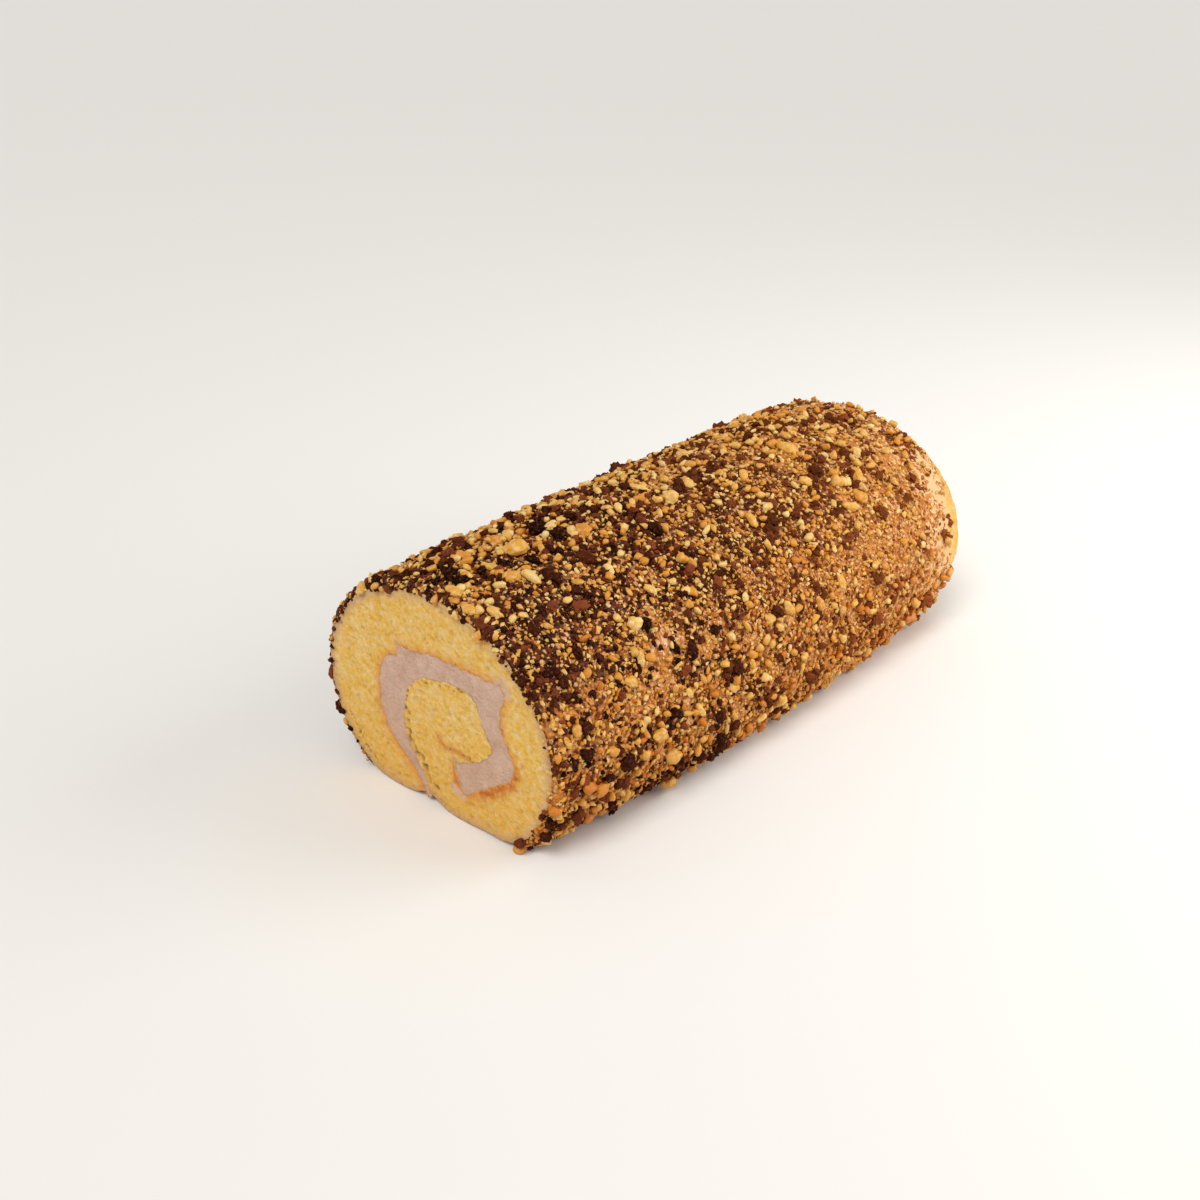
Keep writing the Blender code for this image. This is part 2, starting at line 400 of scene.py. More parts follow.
def makeCreamMaterial():
    look = {
        "cream": srgb(201, 167, 148),
        "shade": srgb(183, 145, 124),
        "pale": srgb(213, 183, 166),
        # painted warm shade for the lower cream
        "warm": srgb(186, 142, 106),
        "orange": srgb(214, 150, 96),
    }
    material, shader, wires = newMaterial("mochaCream", 0.55, 0.35, 0.25, (1.0, 0.6, 0.45))
    tone = wires.noise(5, 6, 0.7)
    colour = wires.ramp(tone, (0.3, look["shade"]), (0.5, look["cream"]), (0.7, look["pale"]))
    for size, reach in ((1.6, 0.2), (0.7, 0.3)):
        spots = wires.ramp(wires.cells(size).outputs["Distance"], (0.0, (0.66, 0.54, 0.5)), (reach, 1))
        colour = wires.blend(0.5, colour, spots, "MULTIPLY")
    # painted warm shade: the cream turns darker and warmer toward the bottom
    colour = wires.blend(wires.fade("Z", 60, 5, 0.5), colour, look["warm"])
    colour = wires.blend(wires.mark("edge"), colour, look["orange"])
    wires.join(colour, shader.inputs["Base Color"])
    normal = wires.bump(addGrit(wires, 0.9, 0.5), 0.3)
    wires.join(wires.bump(wires.noise(0.35, 2), 0.1, after=normal), shader.inputs["Normal"])
    return material


def makeCream():
    draw = random.Random(creamBand["seed"])
    outer, inner = bandSides(creamBand["overlap"])
    outline = np.vstack([inner[::-1], outer])

    def placeRow(along):
        return innerPoints(outline[:, 0], outline[:, 1], along)

    def relief(face, end):
        spots = np.column_stack([np.full(len(face), end * 40.0), face])
        return 0.35 * noiseAt(spots, 6, 3) + 0.16 * noiseAt(spots, 1.6, 4) - 0.15

    points, faces, spots = rolledSolid(
        outline, placeRow, creamBand["faceStep"], creamBand["rows"], relief, draw)
    toOuter = nearness(points[:, 1:], outer)
    edge = 0.4 * np.exp(-(toOuter / 0.5) ** 2)
    cream = makePiece("creamFilling", points, faces, makeCreamMaterial(), {"edge": edge})
    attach(cream, "root")
    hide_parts("cream_filling")


makeCream()
print("cream filling made")


# Sponge

spongeCut = {
    "rimStep": 0.55,
    "slotGap": 0.0,
    "faceStep": 0.55,
    "rows": 24,
    "poreCount": 3200,
    "poreRadius": (0.35, 1.0),
    "poreDepth": (0.15, 0.6),
    # how dark the painted shade in the pores is
    "poreShadeStrength": 0.22,
    "seed": 11,
    "tears": (  # points along each tear in the cut face, with how wide and how deep it is
        (((11.8, 35.4), (12.4, 31.1), (11.6, 24.0), (10.6, 17.4)), 0.9, 1.1),
        (((9.4, 16.6), (6.4, 14.6), (3.4, 8.2), (-0.6, 6.8)), 0.9, 1.2),
        (((40.2, 17.4), (37.8, 14.2), (33.9, 8.0), (27.2, 3.2)), 0.5, 0.9),
        (((-4.4, 22.8), (-8.4, 23.8), (-12.6, 23.6), (-16.6, 22.7)), 0.4, 0.5),
        (((4.2, 41.8), (0.4, 42.4), (-5.0, 44.0), (-12.4, 44.6)), 0.6, 0.7),
    ),
    "tearStep": 0.55,
    "tearStray": 0.6,
    # how dark the painted shade in the tears is
    "tearShadeStrength": 1.3,
    "skinWidth": 2.2,
    "rimWaviness": 0.4,
    "lobeHeight": 1.1,
    "lobeWidth": 29,
    "lobeMiddle": 20,
}
foldLines = (
    ((-1.5, 25.5), (-4.4, 22.8), (-8.4, 23.8), (-12.6, 23.4), (-17.0, 22.5)),
    ((-8.2, 20.6), (-7.8, 18.0), (-8.2, 15.0), (-8.9, 12.2)),
)
tornPatch = ((-19.5, 13.4), (-24.0, 16.2), (-27.5, 18.9), (-31.0, 22.2), (-34.2, 26.4))
creamSmears = (  # each with its width
    (((-24.0, 50.0), (-29.5, 54.0), (-31.0, 51.0)), 1.7),
    (((-7.5, 10.5), (-9.5, 9.4), (-11.5, 9.0)), 1.4),
    (((13.2, 48.4), (13.8, 50.5), (14.2, 52.0)), 0.6),
    (((14.2, 52.0), (14.5, 53.4)), 0.35),
)


def alongLine(points, step=0.3):  # evenly spaced points along a hand-drawn line
    made = []
    for (ay, az), (by, bz) in zip(points, points[1:]):
        count = max(1, int(math.hypot(by - ay, bz - az) / step))
        for i in range(count):
            made.append((ay + (by - ay) * i / count, az + (bz - az) * i / count))
    made.append(points[-1])
    return np.array(made)


def spongeOutline():
    outer, inner = bandSides(spongeCut["slotGap"])
    first = math.atan2(-roll["halfHeight"], outer[0][0] + 0.3)
    last = math.atan2(-roll["halfHeight"], inner[0][0] - 0.3) + 2 * math.pi
    around = 2 * math.pi * (roll["halfWidth"] + roll["halfHeight"]) / 2
    angles = np.linspace(first, last, int(around / spongeCut["rimStep"]))
    return angles, np.vstack([inner, outer[::-1]]), outer


def makeSpongeMaterial():
    look = {
        "yellow": srgb(222, 181, 97),
        "pale": srgb(224, 194, 142),
        "pore": srgb(217, 165, 52),
        # painted shade inside pores and tears
        "poreShadeColour": srgb(140, 98, 34),
        # the baked skin's own colour, made darker with painted shade
        "skin": srgb(186, 148, 114),
        "glow": srgb(212, 140, 66),
        # painted warm shade for the bottom of the face
        "foot": srgb(208, 152, 52),
        "toast": srgb(184, 96, 30),
        "cream": srgb(204, 172, 150),
    }
    material, shader, wires = newMaterial("yellowSponge", 0.85, 0.2, 0.3, (1.0, 0.55, 0.2))
    mottle = wires.noise(2.2, 6, 0.78)
    colour = wires.ramp(mottle, (0.36, look["pore"]), (0.49, look["yellow"]), (0.62, look["pale"]))
    dots = wires.ramp(wires.cells(0.95).outputs["Distance"], (0.05, (0.93, 0.85, 0.5)), (0.45, 1))
    colour = wires.blend(0.6, colour, dots, "MULTIPLY")
    # painted warm shade: the face turns darker and more orange toward the bottom
    colour = wires.blend(wires.fade("Z", 34, 0, 0.5), colour, look["foot"])
    patch = wires.noise(16, 3)
    for name, spread in (("skin", 0.35), ("glow", 0.45)):
        share = wires.value("MULTIPLY", wires.mark(name), wires.value("ADD", patch, spread), clamp=True)
        colour = wires.blend(share, colour, look[name])
    # the pore mark is painted shade in pores and tears
    for name, tint in (("toast", "toast"), ("smear", "cream"), ("pore", "poreShadeColour")):
        colour = wires.blend(wires.mark(name), colour, look[tint])
    wires.join(colour, shader.inputs["Base Color"])
    normal = wires.bump(addGrit(wires, 1.2, 0.5), 0.22)
    wires.join(wires.bump(addGrit(wires, 0.5, 0.4), 0.1, after=normal), shader.inputs["Normal"])
    return material


def makeSponge():
    draw = random.Random(spongeCut["seed"])
    angles, slot, outer = spongeOutline()
    rimCount = len(angles)

    rimSpots = np.column_stack([np.cos(angles) * 50, np.sin(angles) * 45, angles * 0])
    wave = spongeCut["rimWaviness"] * noiseAt(rimSpots, 3.5, 14)

    def placeRow(along):
        y, z = rimPoints(angles, along, wave)
        lobes = 0.5 * spongeCut["lobeHeight"] * (
            1 - np.cos(2 * math.pi * (y - spongeCut["lobeMiddle"]) / spongeCut["lobeWidth"]))
        lobes = lobes * smoothStep(10, 3, z) * smoothStep(-0.7, -1, along)
        z = np.where(z < roll["centreHeight"], z + seamNotch(y) + lobes, z)
        slotY, slotZ = innerPoints(slot[:, 0], slot[:, 1], along)
        return np.concatenate([y, slotY]), np.concatenate([z, slotZ])

    outline = np.column_stack(placeRow(-1))
    poreShadeMarks = {}

    def relief(face, end):
        spots = np.column_stack([np.full(len(face), end * 90.0), face])
        stand = 0.35 * noiseAt(spots, 22, 6, 1) + 0.28 * noiseAt(spots, 2.4, 7)
        dark = np.zeros(len(face))
        tree = kdtree.KDTree(len(face))
        for index, (y, z) in enumerate(face):
            tree.insert((0, y, z), index)
        tree.balance()

        def press(y, z, radius, depth, tint):  # sinks the face round a spot, and paints shade into the dip there
            for _, index, distance in tree.find_range((0, y, z), radius):
                fall = 1 - (distance / radius) ** 2
                stand[index] -= depth * fall
                dark[index] = max(dark[index], min(1, tint * fall))

        low, high = face.min(axis=0), face.max(axis=0)
        smallest, widest = spongeCut["poreRadius"]
        shallowest, deepest = spongeCut["poreDepth"]
        for _ in range(spongeCut["poreCount"]):
            y, z = draw.uniform(low[0], high[0]), draw.uniform(low[1], high[1])
            share = draw.random() ** 2
            depth = shallowest + draw.random() * share * (deepest - shallowest)
            press(y, z, smallest + share * (widest - smallest), depth, spongeCut["poreShadeStrength"] * share)
        if end == 0:
            stray = spongeCut["tearStray"]
            for line, width, depth in spongeCut["tears"]:
                for y, z in alongLine(line, spongeCut["tearStep"]):
                    y, z = y + draw.gauss(0, stray) * width, z + draw.gauss(0, stray) * width
                    radius = width * draw.uniform(0.5, 1.3)
                    sink = draw.random() ** 1.8
                    press(y, z, radius, depth * sink, spongeCut["tearShadeStrength"] * sink)
        poreShadeMarks[end] = dark
        return stand

    points, faces, spots = rolledSolid(
        outline, placeRow, spongeCut["faceStep"], spongeCut["rows"], relief, draw)
    count, rows = len(outline), spongeCut["rows"]
    face = points[:, 1:]
    onEnd = np.abs(points[:, 0]) > roll["length"] / 2 - 3
    rim = outline[:rimCount]
    toRim = nearness(face, rim)
    toCream = nearness(face, outer)
    bareSkin = 0.9 - 0.7 * smoothStep(80, 100, points[:, 0])
    # baked skin round the face's rim; its colour is darkened with painted shade
    skin = np.where(onEnd, 0.9 * np.exp(-(toRim / spongeCut["skinWidth"]) ** 2), bareSkin)
    lowGlow = 0.75 + 0.25 * smoothStep(40, 12, face[:, 1])
    glow = np.where(onEnd, lowGlow * np.exp(-(toCream / (1.3 + lowGlow)) ** 2), 0)
    marks = {name: np.zeros(len(points)) for name in ("toast", "smear", "pore")}
    marks.update(skin=skin, glow=glow)
    start = (rows + 1) * count
    for end in (0, 1):
        firstRow = end * rows * count
        # painted shade in the pores and tears of the end faces
        marks["pore"][firstRow:firstRow + count] = poreShadeMarks[end][:count]
        marks["pore"][start:start + len(spots)] = poreShadeMarks[end][count:]
        if end == 0:
            here = face[start:start + len(spots)]
            ragged = np.clip(0.6 + 0.9 * noiseAt(np.column_stack([here[:, 0] * 0, here]), 1.8, 12), 0, 1)
            folds = [0.6 * np.exp(-(nearness(here, alongLine(line)) / 1.1) ** 2) for line in foldLines]
            torn = np.exp(-(nearness(here, alongLine(tornPatch)) / 2.4) ** 2) * ragged
            marks["toast"][start:start + len(spots)] = np.maximum.reduce([*folds, torn])
            smears = [0.85 * np.exp(-(nearness(here, alongLine(line)) / width) ** 2)
                      for line, width in creamSmears]
            marks["smear"][start:start + len(spots)] = np.maximum.reduce(smears)
        start += len(spots)
    sponge = makePiece("spongeRoll", points, faces, makeSpongeMaterial(), marks)
    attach(sponge, "root")
    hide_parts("sponge")


makeSponge()
print("sponge made")


# Coat of cream under the crumbs

coatCream = {
    "angles": (-48, 228),
    "front": 0.35,
    "back": 1.2,
    "bareDepth": 5.5,
    "frontRaggedness": 0.25,
    "backRaggedness": 0.7,
    "thickness": 1.9,
    "lumps": 0.9,
    "lumpSize": 6.5,
    "grit": 0.5,
    "turns": 300,
    "steps": 290,
    "innerSteps": 6,
    "innerDepth": 0.6,
    "sunk": 0.25,
    "lowest": 0.15,
    "grainSize": 1.7,
    "edgeWidth": 2.4,
    "frontSteepness": 3.5,
    "backSteepness": 0.5,
}


def coatEnds(angle):
    front = -roll["length"] / 2 + coatCream["front"] + coatCream["frontRaggedness"] * np.sin(9 * angle)
    ragged = np.sin(3 * angle + 0.6) + 0.6 * np.sin(8 * angle + 1.0)
    bare = coatCream["bareDepth"] * np.exp(-((np.degrees(angle) - 172) / 24) ** 2)
    return front, roll["length"] / 2 - coatCream["back"] - bare + coatCream["backRaggedness"] * ragged


def coatGrid(turns, steps):  # a grid over the coat, with the share of its thickness that each place has
    first, last = (math.radians(angle) for angle in coatCream["angles"])
    angle = np.linspace(first, last, turns + 1)[None, :]
    front, back = coatEnds(angle)
    share = np.linspace(0, 1, steps + 1)[:, None]
    x = front + (back - front) * share
    angle = angle + 0 * x
    radius = (roll["halfWidth"] + roll["halfHeight"]) / 2
    toEdge = np.minimum.reduce([
        (x - front) * coatCream["frontSteepness"],
        (back - x) * coatCream["backSteepness"],
        (angle - first) * radius,
        (last - angle) * radius,
    ])
    return x, angle, smoothStep(-0.2, coatCream["edgeWidth"], toEdge)


def coatPoints(x, angle, offset):
    y, z = rimPoints(angle, 2 * x / roll["length"], offset)
    return np.column_stack([x.ravel(), y.ravel(), z.ravel()])


def lumpyThickness(places):
    return coatCream["thickness"] + coatCream["lumps"] * noiseAt(places, coatCream["lumpSize"], 31)


def coatOffset(rise, thickness):  # from just inside the sponge at the coat's edges to its full thickness
    return (thickness.reshape(rise.shape) + coatCream["sunk"]) * rise - coatCream["sunk"]


def crumbFields(x, angle, places):  # how much of each topping there is at each place on the coat
    degrees = np.degrees(angle)
    broad = noiseAt(places, 34, 21)
    patchy = noiseAt(places, 11, 22)
    spotty = noiseAt(places, 5.5, 23, 1)
    topSide = smoothStep(150, 100, degrees)
    foot = smoothStep(150, 205, degrees)
    low = smoothStep(132, 176, degrees)
    rear = smoothStep(-30, 90, x)
    farFront = smoothStep(66, 40, degrees) * smoothStep(-76, -96, x)
    dustBand = smoothStep(96, 118, degrees) * smoothStep(160, 134, degrees) * smoothStep(50, -40, x)
    bareEnd = smoothStep(62, 104, x + 9 * patchy)
    bareSide = np.exp(-(((degrees - 168) / 34) ** 2))
    smear = np.exp(-(((x + 57) / 10) ** 2 + ((degrees - 152) / 7) ** 2))
    dark = 0.48 + 0.16 * dustBand + 0.12 * topSide - 0.2 * rear - 0.2 * low
    dark = np.clip(dark + 0.16 * broad + 0.36 * patchy - 0.45 * smear, 0.08, 0.8)
    cover = 1 + 0.2 * patchy - 0.65 * smear - 0.3 * farFront - bareEnd * (0.45 + 0.5 * bareSide)
    cover = np.clip(cover, 0.06, 1)
    clumps = smoothStep(0.12, 0.42, patchy + 0.35 * spotty + 0.15 * topSide)
    chunky = smoothStep(128, 98, degrees) * (0.35 + 0.65 * smoothStep(20, -50, x))
    chunky = np.maximum(chunky, 0.6 * foot)
    middling = 0.5 + 0.5 * topSide - 0.3 * dustBand + 0.32 * foot + 0.4 * patchy
    mealy = 1.1 - 0.6 * dark - 0.2 * topSide + 0.15 * dustBand
    crumbly = 0.35 + dark + 0.35 * foot
    nearBare = 1 - 0.85 * farFront
    return {
        "dark": dark,
        "cover": cover,
        "nutLarge": nearBare * chunky * cover * np.clip(0.6 + patchy, 0, 1),
        "nutMedium": nearBare * cover * np.clip(middling, 0.12, 1),
        "nutFine": cover * np.clip(mealy, 0.2, 1) * (1 - 0.35 * rear),
        "crumbMedium": nearBare * cover * np.clip(0.15 + 0.85 * clumps, 0, 1) * np.clip(crumbly, 0, 1),
        "crumbFine": cover * np.clip(dark * 1.4, 0, 1) * (1 - 0.3 * rear),
        "crumbLarge": nearBare * clumps * cover * np.clip(0.15 + topSide + 0.6 * foot, 0, 1),
    }


def makeCoatMaterial():
    look = {
        "tan": srgb(216, 152, 92),
        "light": srgb(228, 178, 124),
        "orange": srgb(210, 128, 54),
        "dust": srgb(138, 62, 26),
        "black": srgb(32, 12, 6),
        "meal": srgb(204, 136, 54),
        # painted shade for the crevices between grains: a dark one and a warm one
        "gap": srgb(44, 16, 6),
        # painted warm light: the colour the dark grains take toward the rear
        "warmLitDark": srgb(152, 80, 36),
        "warmGapShade": srgb(178, 106, 48),
        "bare": srgb(224, 188, 164),
        "rind": srgb(222, 176, 116),
    }
    material, shader, wires = newMaterial("crumbedCream", 0.7, 0.25, 0.15)
    patch = wires.noise(9, 4)
    cream = wires.ramp(patch, (0.36, look["orange"]), (0.52, look["tan"]), (0.68, look["light"]))
    isBare = wires.ramp(wires.mark("cover"), (0.35, 0.9), (0.75, 0))
    cream = wires.blend(isBare, cream, look["bare"])
    colour = wires.blend(wires.fade("X", 20, 80, 0.75), cream, look["rind"])
    height = None
    # painted warm light toward the rear and lower side, which lifts the dark grains and the painted crevice
    # shade there
    rear = wires.value("MULTIPLY", wires.fade("X", -50, 95, 0.8), wires.fade("Z", 100, 50))
    sparse = wires.ramp(wires.mark("dark"), (0.3, 0.85), (0.6, 0))
    # the painted shade between grains, lighter and warmer toward the rear and where dark crumbs are sparse
    gap = wires.blend(wires.value("MAXIMUM", rear, sparse), look["gap"], look["warmGapShade"])
    for size, weight, depth in ((2.0, 0.9, 0.7), (1.25, 1.0, 0.8)):
        cell = wires.cells(size)
        split = wires.node("ShaderNodeSeparateColor", {"Color": cell.outputs["Color"]}).outputs
        isDark = wires.value("LESS_THAN", split[0], wires.value("MULTIPLY", wires.mark("dark"), weight))
        covered = wires.value("LESS_THAN", split[1], wires.value("MULTIPLY", wires.mark("cover"), 0.8))
        dark = wires.ramp(split[2], (0.0, look["black"]), (1.0, look["dust"]))
        dark = wires.blend(rear, dark, look["warmLitDark"])
        meal = wires.ramp(split[2], (0.0, look["orange"]), (0.5, look["meal"]), (1.0, look["light"]))
        grain = wires.blend(isDark, meal, dark)
        # painted crevice shade at each cell's border; depth sets how dark it gets
        gapShadeShare = wires.ramp(cell.outputs["Distance"], (0.4, 0), (0.66, depth))
        grain = wires.blend(gapShadeShare, grain, gap)
        colour = wires.blend(covered, colour, grain)
        dome = wires.value("SUBTRACT", 1.0, cell.outputs["Distance"])
        dome = wires.value("MULTIPLY", dome, wires.value("MULTIPLY", covered, size))
        height = dome if height is None else wires.value("ADD", height, dome)
    wires.join(colour, shader.inputs["Base Color"])
    normal = wires.bump(height, 0.6)
    wires.join(wires.bump(wires.noise(0.5, 3), 0.1, after=normal), shader.inputs["Normal"])
    return material


def gridFaces(turns, steps):
    width = turns + 1
    corners = [row * width + turn for row in range(steps) for turn in range(turns)]
    return [(corner, corner + 1, corner + width + 1, corner + width) for corner in corners]


def partOfCoat(piece):
    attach(piece, "root")
    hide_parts("crumb_coat")


def makeCoat():
    turns, steps = coatCream["turns"], coatCream["steps"]
    x, angle, rise = coatGrid(turns, steps)
    flat = coatPoints(x, angle, 0)
    fields = crumbFields(x.ravel(), angle.ravel(), flat)
    grains = np.array([0.6 - noise.voronoi(Vector(p) / coatCream["grainSize"])[0][0] for p in flat])
    thickness = lumpyThickness(flat) + coatCream["grit"] * grains * fields["cover"]
    outer = coatPoints(x, angle, coatOffset(rise, thickness))
    outer[:, 2] = np.maximum(outer[:, 2], coatCream["lowest"])
    width = turns + 1
    faces = gridFaces(turns, steps)
    innerSteps = coatCream["innerSteps"]
    inner = []
    rows = [0] + [len(outer) + k * width for k in range(innerSteps - 1)] + [steps * width]
    for k in range(1, innerSteps):
        row = round(k * steps / innerSteps)
        innerY, innerZ = rimPoints(angle[row], 2 * x[row] / roll["length"], -coatCream["innerDepth"])
        innerY[0], innerZ[0] = outer[row * width][1:]
        innerY[-1], innerZ[-1] = outer[row * width + turns][1:]
        inner.append(np.column_stack([x[row], innerY, innerZ]))
    for k in range(innerSteps):
        for turn in range(turns):
            a, b = rows[k] + turn, rows[k + 1] + turn
            faces.append((a, b, b + 1, a + 1))
    points = np.vstack([outer, *inner])
    marks = {}
    for name in ("dark", "cover"):
        marks[name] = np.concatenate([fields[name], np.full(len(points) - len(outer), 0.5)])
    partOfCoat(makePiece("coatCream", points, faces, makeCoatMaterial(), marks))


makeCoat()
print("coat made")


# Chopped nuts and biscuit crumbs

scatterGround = {"turns": 170, "steps": 150, "floor": 2.6, "ontoFace": 0.7}
grainShapes = {
    "kinds": 9,
    "seed": 3,
    "chipWidth": 0.82,
    "chipHeight": 0.74,
    "lumpWidth": 0.85,
    "lumpHeight": 0.8,
    "placedHeight": 0.78,
    "turn": 2.4,
    "stray": 0.22,
}


def meshOf(shape, mesh):  # the shape in triangles that face outwards
    bmesh.ops.triangulate(shape, faces=shape.faces)
    bmesh.ops.recalc_face_normals(shape, faces=shape.faces)
    shape.to_mesh(mesh)
    shape.free()
    return mesh


def randomShift(draw, directions):
    return Vector([draw.uniform(0, 50) for _ in range(directions)] + [0] * (3 - directions))


def chipMesh(name, draw, corners, rounding):  # a chopped bit: a hull of a few points, about 1 long
    shape = bmesh.new()
    for index in range(corners):
        rise = 1 - (2 * index + 1) / corners
        flat = math.sqrt(1 - rise * rise)
        turn = index * grainShapes["turn"]
        way = Vector((flat * math.cos(turn), flat * math.sin(turn), rise))
        way = (way + Vector([draw.gauss(0, grainShapes["stray"]) for _ in range(3)])).normalized()
        reach = 0.5 * draw.uniform(1 - rounding, 1)
        shape.verts.new((way.x * reach, way.y * reach * grainShapes["chipWidth"],
                         way.z * reach * grainShapes["chipHeight"]))
    bmesh.ops.convex_hull(shape, input=shape.verts)
    loose = [corner for corner in shape.verts if not corner.link_faces]
    bmesh.ops.delete(shape, geom=loose, context="VERTS")
    return meshOf(shape, bpy.data.meshes.new(name))


def lumpMesh(name, draw, fineness, roughness):  # a rough crumb: a ball that noise has broken up
    shape = bmesh.new()
    bmesh.ops.create_icosphere(shape, subdivisions=fineness, radius=0.5)
    shift = randomShift(draw, 3)
    for corner in shape.verts:
        way = corner.co.normalized()
        swell = 1 + roughness * noise.fractal(way * 1.5 + shift, 0.6, 2.1, 3)
        swell += 0.35 * roughness * draw.uniform(-1, 1)
        flattened = Vector((way.x, way.y * grainShapes["lumpWidth"], way.z * grainShapes["lumpHeight"]))
        corner.co = flattened * 0.5 * swell
    return meshOf(shape, bpy.data.meshes.new(name))


def nutMesh(name, draw, corners, softness, rounds=2):  # a piece of nut: a hull with its edges worn round
    mesh = chipMesh(name, draw, corners, 0.3)
    shape = bmesh.new()
    shape.from_mesh(mesh)
    for _ in range(rounds):
        bmesh.ops.subdivide_edges(shape, edges=shape.edges, cuts=1, use_grid_fill=True)
        bmesh.ops.smooth_vert(shape, verts=shape.verts, factor=softness, use_axis_x=True,
                              use_axis_y=True, use_axis_z=True)
    shift = randomShift(draw, 1)
    for corner in shape.verts:
        corner.co *= 1.12 + 0.22 * noise.fractal(corner.co * 4 + shift, 0.6, 2.0, 3)
    return meshOf(shape, mesh)


def shapeCollection(name, smooth, makeOne, *form):
    draw = random.Random(grainShapes["seed"] + len(name))
    collection = bpy.data.collections.new(name)
    for index in range(grainShapes["kinds"]):
        mesh = makeOne(f"{name}{index}", draw, *form)
        mesh.polygons.foreach_set("use_smooth", [smooth] * len(mesh.polygons))
        collection.objects.link(bpy.data.objects.new(f"{name}{index}", mesh))
    return collection


def makeScatterTree():
    tree = bpy.data.node_groups.new("scatterGrains", "GeometryNodeTree")
    sockets = {"Ground": "Geometry", "Shapes": "Collection", "Mask": "String", "Finish": "Material",
               "Seed": "Int"}
    for name in ("Amount", "Spacing", "Smallest", "Largest", "Skew", "Lift", "Tilt", "Slimmest"):
        sockets[name] = "Float"
    for name, kind in sockets.items():
        tree.interface.new_socket(name, in_out="INPUT", socket_type="NodeSocket" + kind)
    tree.interface.new_socket("Grains", in_out="OUTPUT", socket_type="NodeSocketGeometry")
    wires = Wires(tree)
    given = wires.node("NodeGroupInput").outputs

    def randomValue(kind, low, high, seed):
        first, second, out = {"FLOAT_VECTOR": (0, 1, 0), "FLOAT": (2, 3, 1), "INT": (4, 5, 2)}[kind]
        inputs = {first: low, second: high, "Seed": seed}
        return wires.node("FunctionNodeRandomValue", inputs, data_type=kind).outputs[out]

    def attribute(name):
        made = wires.node("GeometryNodeInputNamedAttribute", {"Name": name}, data_type="FLOAT")
        return made.outputs["Attribute"]

    def step(kind, geometry, inputs=None, **settings):  # one more step that the grains go through
        return wires.node(kind, {"Geometry": geometry, **(inputs or {})}, **settings).outputs["Geometry"]

    spread = wires.node("GeometryNodeDistributePointsOnFaces", {
        "Mesh": given["Ground"], "Distance Min": given["Spacing"], "Density Max": given["Amount"],
        "Density Factor": attribute(given["Mask"]), "Seed": given["Seed"]},
        distribute_method="POISSON").outputs
    chance = wires.value("POWER", randomValue("FLOAT", 0.0, 1.0, 1), given["Skew"])
    size = wires.value("MULTIPLY", wires.value("SUBTRACT", given["Largest"], given["Smallest"]), chance)
    size = wires.value("ADD", size, given["Smallest"])
    points = step("GeometryNodeStoreNamedAttribute", spread["Points"], {"Name": "size", "Value": size},
                  data_type="FLOAT", domain="POINT")
    size = attribute("size")
    lift = wires.scaled(spread["Normal"], wires.value("MULTIPLY", size, given["Lift"]))
    points = step("GeometryNodeSetPosition", points, {"Offset": lift})

    back = wires.value("MULTIPLY", given["Tilt"], -1)
    low = wires.vector(back, back, 0.0)
    high = wires.vector(given["Tilt"], given["Tilt"], 2 * math.pi)
    euler = wires.node("FunctionNodeEulerToRotation", {0: randomValue("FLOAT_VECTOR", low, high, 2)})
    turned = wires.node("FunctionNodeRotateRotation", {0: spread["Rotation"], 1: euler.outputs[0]},
                        rotation_space="LOCAL")
    slim = wires.vector(1.0, given["Slimmest"], given["Slimmest"])
    shapes = wires.node("GeometryNodeCollectionInfo", {
        "Collection": given["Shapes"], "Separate Children": True, "Reset Children": True},
        transform_space="ORIGINAL")
    placed = wires.node("GeometryNodeInstanceOnPoints", {
        "Points": points, "Instance": shapes.outputs["Instances"], "Pick Instance": True,
        "Instance Index": randomValue("INT", 0, grainShapes["kinds"] - 1, 4),
        "Rotation": turned.outputs[0],
        "Scale": wires.scaled(randomValue("FLOAT_VECTOR", slim, (1.15, 1.1, 1.1), 3), size)})

    grains = step("GeometryNodeStoreNamedAttribute", placed.outputs["Instances"],
                  {"Name": "tone", "Value": randomValue("FLOAT", 0.0, 1.0, 5)},
                  data_type="FLOAT", domain="INSTANCE")
    grains = step("GeometryNodeRealizeInstances", grains)
    # Nothing reaches below the floor
    place = wires.node("GeometryNodeInputPosition").outputs[0]
    split = wires.node("ShaderNodeSeparateXYZ", {0: place}).outputs
    onFloor = wires.vector(split[0], split[1], wires.value("MAXIMUM", split[2], 0.0))
    grains = step("GeometryNodeSetPosition", grains, {"Position": onFloor})
    grains = step("GeometryNodeSetMaterial", grains, {"Material": given["Finish"]})
    wires.node("NodeGroupOutput", {"Grains": grains})
    return tree


def makeGround():  # the surface that grains stand on, with how many of each kind it holds
    x, angle, rise = coatGrid(scatterGround["turns"], scatterGround["steps"])
    flat = coatPoints(x, angle, 0)
    points = coatPoints(x, angle, coatOffset(rise, lumpyThickness(flat)))
    faceY, faceZ = rimPoints(angle[0], -1.0, -scatterGround["ontoFace"])
    faceX = np.full(len(faceY), -roll["length"] / 2 - 0.1)
    points[:len(faceY)] = np.column_stack([faceX, faceY, faceZ])
    fields = crumbFields(x.ravel(), angle.ravel(), points)
    offFloor = smoothStep(scatterGround["floor"] - 1, scatterGround["floor"] + 1, points[:, 2])
    marks = {name: values * offFloor for name, values in fields.items()}
    faces = gridFaces(scatterGround["turns"], scatterGround["steps"])
    return makePiece("scatterGround", points, faces, gritMaterial, marks)


